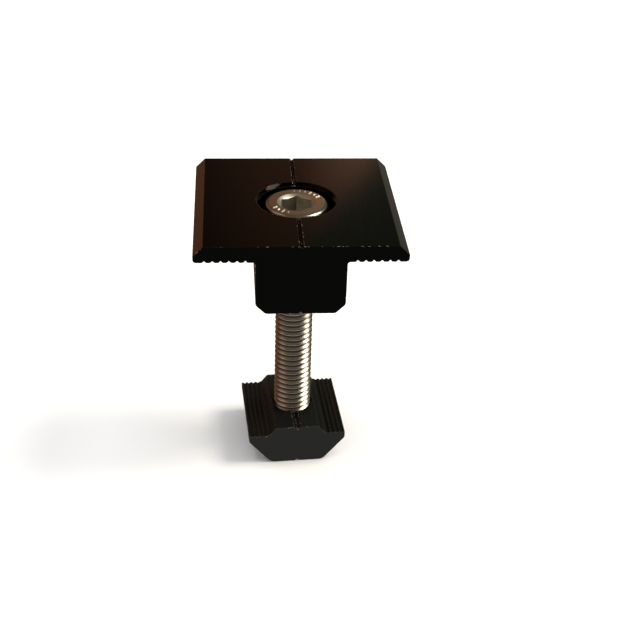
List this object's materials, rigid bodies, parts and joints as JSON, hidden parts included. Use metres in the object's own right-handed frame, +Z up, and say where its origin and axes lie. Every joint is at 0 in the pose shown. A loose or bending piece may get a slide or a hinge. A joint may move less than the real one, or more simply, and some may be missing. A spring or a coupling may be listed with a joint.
{
  "type": "solar mid clamp",
  "caption": "T-shaped clamp for neighbouring solar module frames, with a counterbored socket cap screw and a rail nut that rises as the screw turns.",
  "frame": {"origin": "on the screw's axis, at the flat base of the rail nut", "axes": "+Z up along the screw towards its head, Y along the extrusion, X across the wings"},
  "size_m": [0.041, 0.04, 0.0587],
  "materials": {
    "anodised_body": "black anodised, satin",
    "anodised_nut": "black anodised, satin",
    "stainless_screw": "plain stainless steel",
    "stainless_washer": "plain stainless steel"
  },
  "bodies": {
    "clamp": {"clamp_body": "anodised_body", "lock_washer": "stainless_washer"},
    "screw": {"cap_screw": "stainless_screw"},
    "nut": {"rail_nut": "anodised_nut"}
  },
  "joints": [
    {"name": "screw_turn", "type": "hinge", "parent": "clamp", "child": "screw", "pos_m": [0, 0, 0.0581], "axis": [0, 0, 1], "range_deg": [-10000, 1440]},
    {"name": "nut_travel", "type": "slide", "parent": "clamp", "child": "nut", "axis": [0, 0, 1], "range_m": [-0.0051, 0.0348]}
  ],
  "couplings": [
    {"joint": "nut_travel", "follows": "screw_turn", "m_per_rad": -0.00019894}
  ]
}
